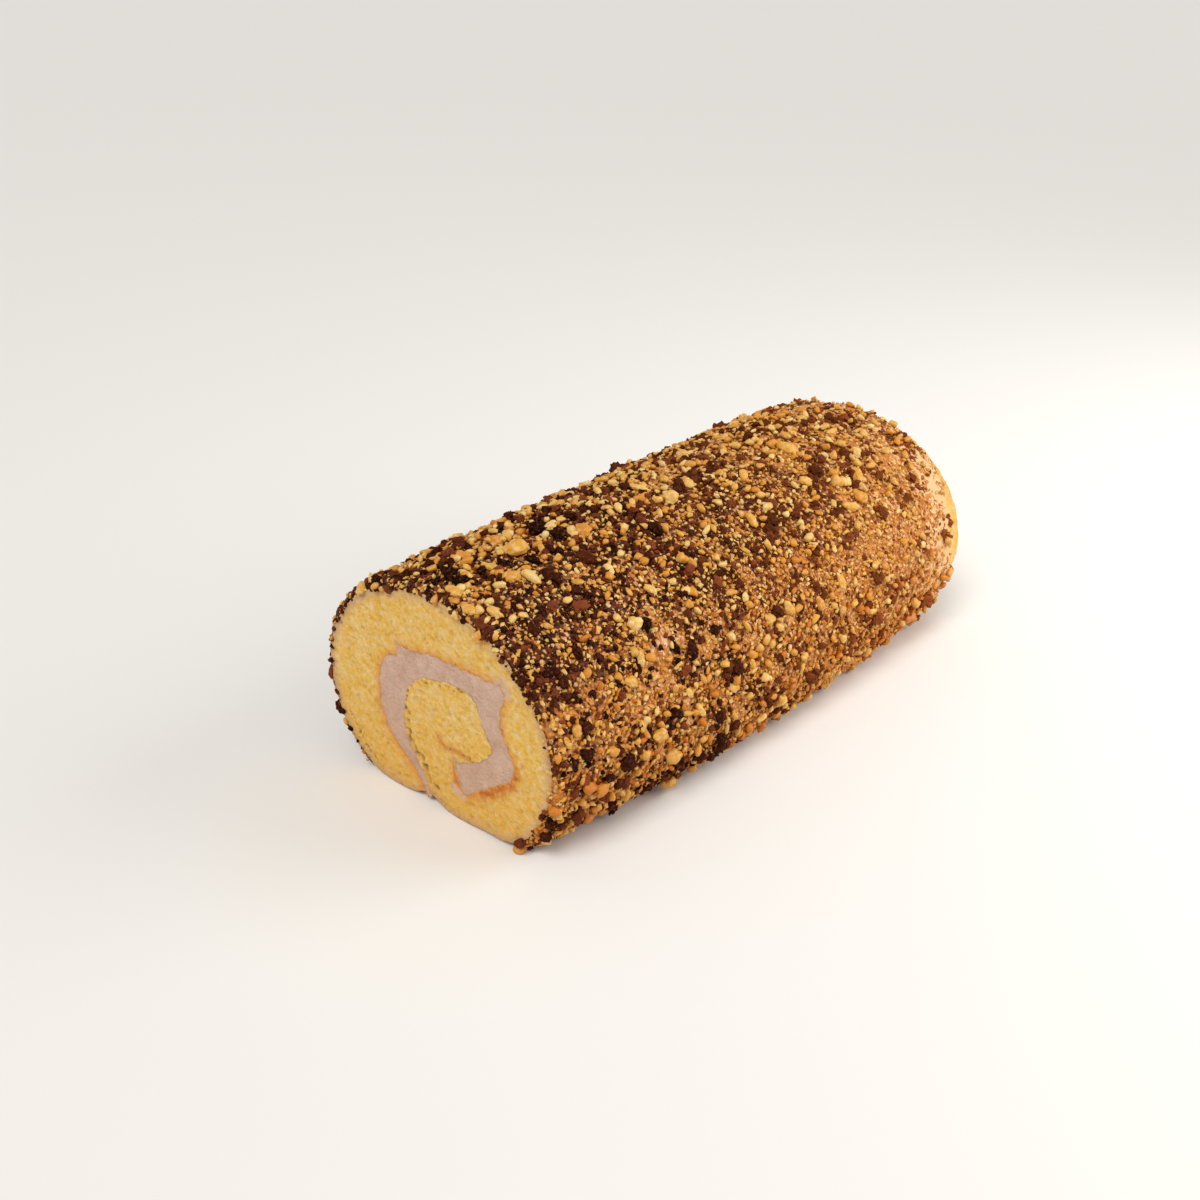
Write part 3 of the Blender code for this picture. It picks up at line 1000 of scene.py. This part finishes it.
def makeNutMaterial():
    look = {
        "pale": srgb(226, 192, 116),
        "gold": srgb(212, 157, 60),
        "amber": srgb(204, 134, 36),
        "toast": srgb(192, 108, 16),
        "cut": srgb(236, 212, 160),
    }
    material, shader, wires = newMaterial("choppedNut", 0.42, 0.25, 0.1, (1.0, 0.7, 0.35))
    # painted warm bounce light: nuts turn more amber toward the bottom, added to each grain's own tone
    tone = wires.value("ADD", wires.mark("tone"), wires.fade("Z", 66, 6, 0.32))
    colour = wires.ramp(tone, (0.0, look["pale"]), (0.4, look["gold"]), (0.75, look["amber"]),
                        (0.97, look["amber"]), (1.0, look["toast"]))
    cut = wires.ramp(wires.noise(1.6, 3), (0.45, 0), (0.7, 0.7))
    cut = wires.value("MULTIPLY", cut, wires.value("SUBTRACT", 1.2, tone, clamp=True))
    colour = wires.blend(cut, colour, look["cut"])
    brown = wires.ramp(wires.noise(2.3, 4), (0.55, 0), (0.75, 0.5))
    colour = wires.blend(brown, colour, look["amber"])
    wires.join(colour, shader.inputs["Base Color"])
    wires.join(wires.bump(wires.noise(0.6, 3), 0.12), shader.inputs["Normal"])
    return material


def makeBiscuitMaterial():
    look = {
        "black": srgb(18, 6, 2),
        "brown": srgb(66, 28, 13),
        "dusty": srgb(130, 66, 38),
        "warm": srgb(150, 78, 34),
    }
    material, shader, wires = newMaterial("chocolateBiscuit", 0.85, 0.06)
    tone = wires.mark("tone")
    colour = wires.ramp(tone, (0.0, look["black"]), (0.55, look["brown"]), (1.0, look["dusty"]))
    dust = wires.ramp(wires.noise(0.9, 4), (0.5, 0), (0.7, 0.55))
    colour = wires.blend(dust, colour, look["dusty"])
    # painted warm light: the biscuit turns lighter and warmer toward the rear and lower side
    rear = wires.value("MULTIPLY", wires.fade("X", -50, 105, 0.75), wires.fade("Z", 100, 50))
    colour = wires.blend(rear, colour, look["warm"])
    wires.join(colour, shader.inputs["Base Color"])
    wires.join(wires.bump(addGrit(wires, 0.6, 0.4), 0.25), shader.inputs["Normal"])
    return material


gritMaterial = newMaterial("ground", 0.8)[0]
nutFinish = makeNutMaterial()
biscuitFinish = makeBiscuitMaterial()
scatterTree = makeScatterTree()

chipShapes = shapeCollection("chip", True, nutMesh, 11, 0.45, 1)
mealShapes = shapeCollection("meal", False, chipMesh, 9, 0.25)
nutShapes = shapeCollection("nut", True, nutMesh, 15, 0.65)
lumpShapes = shapeCollection("lump", False, lumpMesh, 2, 0.55)
clodShapes = shapeCollection("clod", True, lumpMesh, 3, 0.55)
crumbShapes = shapeCollection("crumb", False, lumpMesh, 1, 0.5)

perSquareMetre = 1e6
scaledInputs = {"Spacing": mm, "Smallest": mm, "Largest": mm, "Amount": perSquareMetre}
# Amount is grains on a square millimetre, and sizes are in millimetres
grainColumns = ("name", "Shapes", "Mask", "Finish", "Seed",
                "Amount", "Spacing", "Smallest", "Largest", "Skew", "Lift", "Tilt", "Slimmest")
grainKinds = (
    ("nutsLarge", nutShapes, "nutLarge", nutFinish, 1, 0.005, 5.0, 3.8, 6.6, 1.8, 0.2, 0.4, 0.6),
    ("nutsMedium", chipShapes, "nutMedium", nutFinish, 2, 0.09, 1.7, 1.9, 5.0, 1.5, 0.26, 0.5, 0.6),
    ("nutsFine", mealShapes, "nutFine", nutFinish, 3, 0.46, 0.8, 1.0, 2.6, 1.6, 0.22, 0.6, 0.7),
    ("biscuitLarge", clodShapes, "crumbLarge", biscuitFinish, 4, 0.006, 5.0, 3.4, 6.2, 2.0, 0.16, 0.6, 0.7),
    ("biscuitMedium", lumpShapes, "crumbMedium", biscuitFinish, 5,
     0.16, 1.4, 1.6, 3.8, 1.8, 0.22, 0.6, 0.65),
    ("biscuitFine", crumbShapes, "crumbFine", biscuitFinish, 6, 0.42, 0.8, 1.0, 2.2, 1.5, 0.16, 0.7, 0.65),
)


def scatterKind(ground, kind):
    host = ground.copy()
    host.data = ground.data.copy()
    bpy.context.scene.collection.objects.link(host)
    modifier = host.modifiers.new("grains", "NODES")
    modifier.node_group = scatterTree
    for item in scatterTree.interface.items_tree:
        if item.in_out == "INPUT" and item.name in kind:
            value = kind[item.name]
            scale = scaledInputs.get(item.name)
            modifier[item.identifier] = value * scale if scale else value
    graph = bpy.context.evaluated_depsgraph_get()
    mesh = bpy.data.meshes.new_from_object(host.evaluated_get(graph), preserve_all_data_layers=True,
                                           depsgraph=graph)
    bpy.data.objects.remove(host)
    mesh.name = kind["name"]
    piece = bpy.data.objects.new(kind["name"], mesh)
    bpy.context.scene.collection.objects.link(piece)
    partOfCoat(piece)
    print(kind["name"], "made:", len(mesh.polygons), "faces")


ground = makeGround()
for row in grainKinds:
    scatterKind(ground, dict(zip(grainColumns, row)))

# The pieces that stand out: x, angle round the roll, length, width, turn from the roll's length
# in degrees, and tone
tones = {"pale": 0.1, "straw": 0.3, "gold": 0.45, "amber": 0.62, "toasted": 0.75,
         "black": 0.05, "brown": 0.2, "dusty": 0.4}
placedNuts = (
    (-107, 108, 5.6, 3.4, 104, "gold"), (-105, 99, 6.4, 3.6, 89, "gold"),
    (-102, 114, 5.4, 3.2, 67, "straw"), (-96, 94, 6.8, 2.8, 80, "straw"),
    (-92, 194, 6.5, 4.0, 179, "toasted"), (-88, 96, 7.2, 3.0, 84, "gold"),
    (-88, 104, 5.6, 4.6, 68, "amber"), (-87, 180, 5.0, 3.0, 46, "gold"),
    (-83, 107, 7.4, 3.6, 94, "pale"), (-76, 92, 8.4, 6.6, 66, "gold"),
    (-76, 158, 5.2, 3.4, 31, "straw"), (-75, 82, 5.6, 4.0, 93, "toasted"),
    (-75, 177, 5.6, 3.0, 63, "straw"), (-69, 183, 6.8, 4.6, 36, "straw"),
    (-68, 80, 5.2, 3.2, 106, "pale"), (-66, 140, 4.8, 4.6, 36, "pale"),
    (-62, 197, 6.2, 5.2, 38, "straw"), (-60, 118, 4.4, 3.0, 110, "pale"),
    (-57, 88, 6.0, 3.9, 28, "pale"), (-56, 218, 7.0, 5.6, 50, "straw"),
    (-55, 96, 5.2, 3.2, 125, "pale"), (-54, 174, 5.2, 2.5, 44, "pale"),
    (-53, 99, 6.8, 4.8, 121, "toasted"), (-53, 132, 4.8, 3.1, 74, "straw"),
    (-50, 183, 5.7, 2.7, 69, "pale"), (-41, 138, 3.8, 2.6, 37, "pale"),
    (-35, 127, 4.4, 4.0, 53, "amber"), (-34, 182, 5.4, 3.2, 34, "straw"),
    (-31, 87, 6.0, 2.9, 127, "gold"), (-24, 177, 6.0, 2.4, 67, "straw"),
    (-17, 90, 8.6, 3.6, 67, "straw"), (-15, 102, 6.2, 5.0, 110, "straw"),
    (-7, 82, 6.4, 3.6, 127, "amber"), (-3, 162, 5.8, 3.3, 73, "straw"),
    (-2, 98, 7.2, 3.5, 112, "straw"), (2, 125, 6.2, 3.2, 114, "gold"), (5, 73, 6.0, 3.8, 179, "amber"),
    (13, 168, 6.8, 3.5, 68, "amber"), (18, 79, 7.4, 4.2, 111, "straw"),
    (18, 107, 6.6, 3.3, 130, "gold"), (26, 163, 7.6, 3.1, 81, "straw"), (37, 121, 5.1, 4.2, 71, "gold"),
    (47, 138, 7.2, 3.4, 33, "gold"), (48, 103, 9.0, 4.6, 85, "gold"), (49, 127, 5.6, 5.2, 36, "gold"),
    (55, 136, 6.6, 4.6, 102, "amber"), (57, 96, 5.0, 3.1, 95, "gold"),
    (61, 128, 7.2, 4.5, 118, "amber"), (62, 95, 7.0, 3.5, 113, "gold"),
    (72, 119, 5.4, 3.4, 127, "pale"), (74, 203, 8.6, 5.4, 30, "toasted"),
    (75, 104, 5.8, 2.6, 12, "gold"), (77, 89, 5.5, 3.0, 71, "gold"),
)
placedClumps = (
    (-99, 89, 8.0, 5.4, 108, "black"), (-98, 175, 6.4, 4.2, 37, "brown"),
    (-97, 190, 6.1, 4.0, 40, "brown"), (-89, 140, 5.8, 3.5, 91, "brown"),
    (-82, 59, 5.9, 3.0, 147, "black"), (-82, 188, 7.6, 5.2, 35, "dusty"),
    (-79, 67, 6.6, 3.4, 121, "black"), (-78, 112, 8.2, 5.0, 91, "dusty"),
    (-76, 101, 6.0, 3.5, 92, "black"), (-62, 87, 8.0, 5.8, 94, "black"),
    (-62, 142, 4.2, 4.0, 37, "black"), (-61, 178, 6.6, 4.6, 41, "brown"),
    (-60, 95, 6.0, 5.6, 71, "brown"), (-53, 63, 7.6, 5.4, 125, "dusty"),
    (-48, 88, 6.6, 4.1, 99, "brown"), (-47, 208, 6.8, 4.4, 40, "dusty"),
    (-39, 203, 7.2, 5.0, 39, "brown"), (-33, 112, 6.6, 5.0, 100, "black"),
    (-32, 174, 7.8, 5.0, 54, "dusty"), (-19, 85, 7.8, 4.6, 107, "dusty"),
    (-9, 161, 6.6, 4.4, 41, "brown"), (-5, 97, 6.8, 4.0, 122, "dusty"), (2, 164, 6.6, 4.0, 64, "brown"),
    (9, 129, 6.0, 5.2, 61, "brown"), (46, 88, 8.0, 5.2, 103, "dusty"), (46, 119, 6.0, 5.2, 61, "brown"),
    (46, 170, 7.4, 4.2, 55, "brown"), (60, 146, 6.8, 5.2, 54, "dusty"),
    (66, 117, 8.0, 3.8, 132, "brown"),
)


def placePieces(name, rows, shapes, finish, sunk):  # joins one shape for each row into a single piece
    points, faces, toneMarks = [], [], []
    for index, (x, degrees, length, width, turn, tone) in enumerate(rows):
        angle, along = math.radians(degrees), 2 * x / roll["length"]
        here, ahead = (
            np.array([x, *rimPoints(np.float64(angle + step), along, coatCream["thickness"])])
            for step in (0, 0.01))
        around = (ahead - here) / np.linalg.norm(ahead - here)
        out = np.cross(around, (1, 0, 0)) * -1
        out *= np.sign(out @ (here - np.array([x, 0, roll["centreHeight"]])))
        turned = math.radians(turn)
        longWay = np.array((1, 0, 0)) * math.cos(turned) + around * math.sin(turned)
        shape = shapes.objects[index % len(shapes.objects)].data
        corners = np.array([corner.co for corner in shape.vertices])
        corners = corners / (corners.max(axis=0) - corners.min(axis=0))
        tall = grainShapes["placedHeight"] * width
        spots = here + out * tall * (0.5 - sunk)
        spots = spots + corners[:, :1] * length * longWay + corners[:, 1:2] * width * np.cross(out, longWay)
        spots = spots + corners[:, 2:3] * tall * out
        spots[:, 2] = np.maximum(spots[:, 2], 0)
        start = sum(len(part) for part in points)
        points.append(spots)
        faces += [tuple(start + corner for corner in face.vertices) for face in shape.polygons]
        toneMarks.append(np.full(len(spots), tones[tone]))
    partOfCoat(makePiece(name, np.vstack(points), faces, finish, {"tone": np.concatenate(toneMarks)}))


boulderShapes = shapeCollection("boulder", True, lumpMesh, 4, 0.55)
wholeShapes = shapeCollection("whole", True, nutMesh, 12, 0.65, 3)
placePieces("nutsPlaced", placedNuts, wholeShapes, nutFinish, 0.15)
placePieces("biscuitPlaced", placedClumps, boulderShapes, biscuitFinish, 0.2)
print("placed pieces made")
bpy.data.objects.remove(ground)
for collection in (chipShapes, mealShapes, nutShapes, lumpShapes, clodShapes, crumbShapes, boulderShapes,
                   wholeShapes):
    for shape in list(collection.objects):
        bpy.data.objects.remove(shape)
    bpy.data.collections.remove(collection)


# Floor, lights and camera

studio = {
    "floor": (0.82, 0.81, 0.79),
    "floorSize": 60.0,
    "sky": (1.0, 0.99, 0.97),
    "skyStrength": 0.45,
    "sun": (-0.55, -0.15, 0.82),
    "sunStrength": 2.0,
    "sunSpread": 0.5,
    "fillPlace": (0.4, -0.5, 0.32),
    "fillSize": 0.6,
    "fillWatts": 3.3,
    "warm": (1.0, 0.97, 0.93),
    "camera": (-0.3180, -0.2534, 0.2276),
    "azimuth": -48.01,
    "elevation": 25.97,
    "lens": 39.0,
    "sensor": 36.0,
}


def setUp(data, place, way):  # puts a lamp or the camera in its place, looking that way
    thing = bpy.data.objects.new(data.name, data)
    thing.location = place
    thing.rotation_mode = "QUATERNION"
    thing.rotation_quaternion = way.to_track_quat("-Z", "Y")
    bpy.context.scene.collection.objects.link(thing)
    return thing


def makeStudio():
    bpy.ops.mesh.primitive_plane_add(size=studio["floorSize"])
    floor = bpy.context.object
    floor.name = "floor"
    material, shader, _ = newMaterial("paleFloor", 0.6, 0.2)
    shader.inputs["Base Color"].default_value = (*studio["floor"], 1)
    floor.data.materials.append(material)
    world = bpy.data.worlds.new("studio")
    world.use_nodes = True
    sky = world.node_tree.nodes["Background"]
    sky.inputs["Color"].default_value = (*studio["sky"], 1)
    sky.inputs["Strength"].default_value = studio["skyStrength"]
    bpy.context.scene.world = world
    sun = bpy.data.lights.new("sun", "SUN")
    sun.energy = studio["sunStrength"]
    sun.angle = studio["sunSpread"]
    fill = bpy.data.lights.new("fill", "AREA")
    fill.shape = "DISK"
    fill.size = studio["fillSize"]
    fill.energy = studio["fillWatts"]
    aim = Vector((0, 0, roll["centreHeight"] * mm))
    for light, place in ((sun, studio["sun"]), (fill, studio["fillPlace"])):
        light.color = studio["warm"]
        setUp(light, place, aim - Vector(place))
    bpy.context.scene.view_settings.view_transform = "Standard"


def makeCamera():
    azimuth, elevation = math.radians(studio["azimuth"]), math.radians(studio["elevation"])
    back = Vector((math.sin(azimuth) * math.cos(elevation), -math.cos(azimuth) * math.cos(elevation),
                   math.sin(elevation)))
    data = bpy.data.cameras.new("camera")
    data.lens = studio["lens"]
    data.sensor_width = studio["sensor"]
    bpy.context.scene.camera = setUp(data, studio["camera"], -back)


makeStudio()
makeCamera()
print("studio made")
